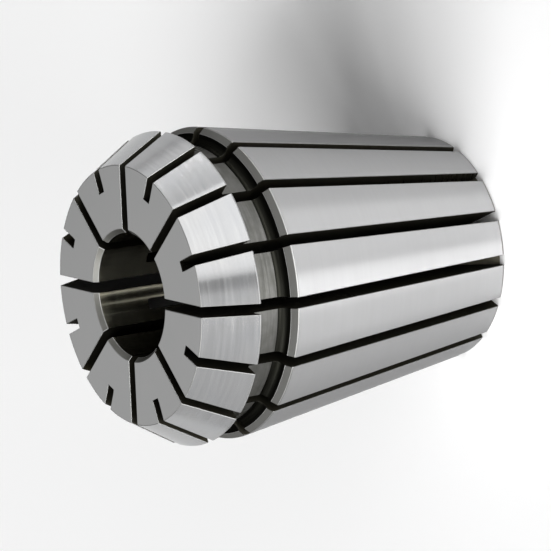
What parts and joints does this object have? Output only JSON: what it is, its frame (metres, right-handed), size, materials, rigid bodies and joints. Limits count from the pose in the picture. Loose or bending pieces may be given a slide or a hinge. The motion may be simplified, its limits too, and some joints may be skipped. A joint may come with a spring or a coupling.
{
  "type": "er collet",
  "caption": "Spring collet with a slotted double taper and an extraction groove, which grips a round tool shank in a tool holder.",
  "frame": {"origin": "centre of the rear face, on the bore's axis", "axes": "+Z along the bore's axis from the rear face to the front face; one of the slits that are open at the front lies at +X"},
  "size_m": [0.033, 0.033, 0.04],
  "materials": {
    "ground_steel": "hardened spring steel, ground and polished tapers, satin face, dark turned groove"
  },
  "bodies": {
    "root": {"collet": "ground_steel"}
  },
  "joints": []
}
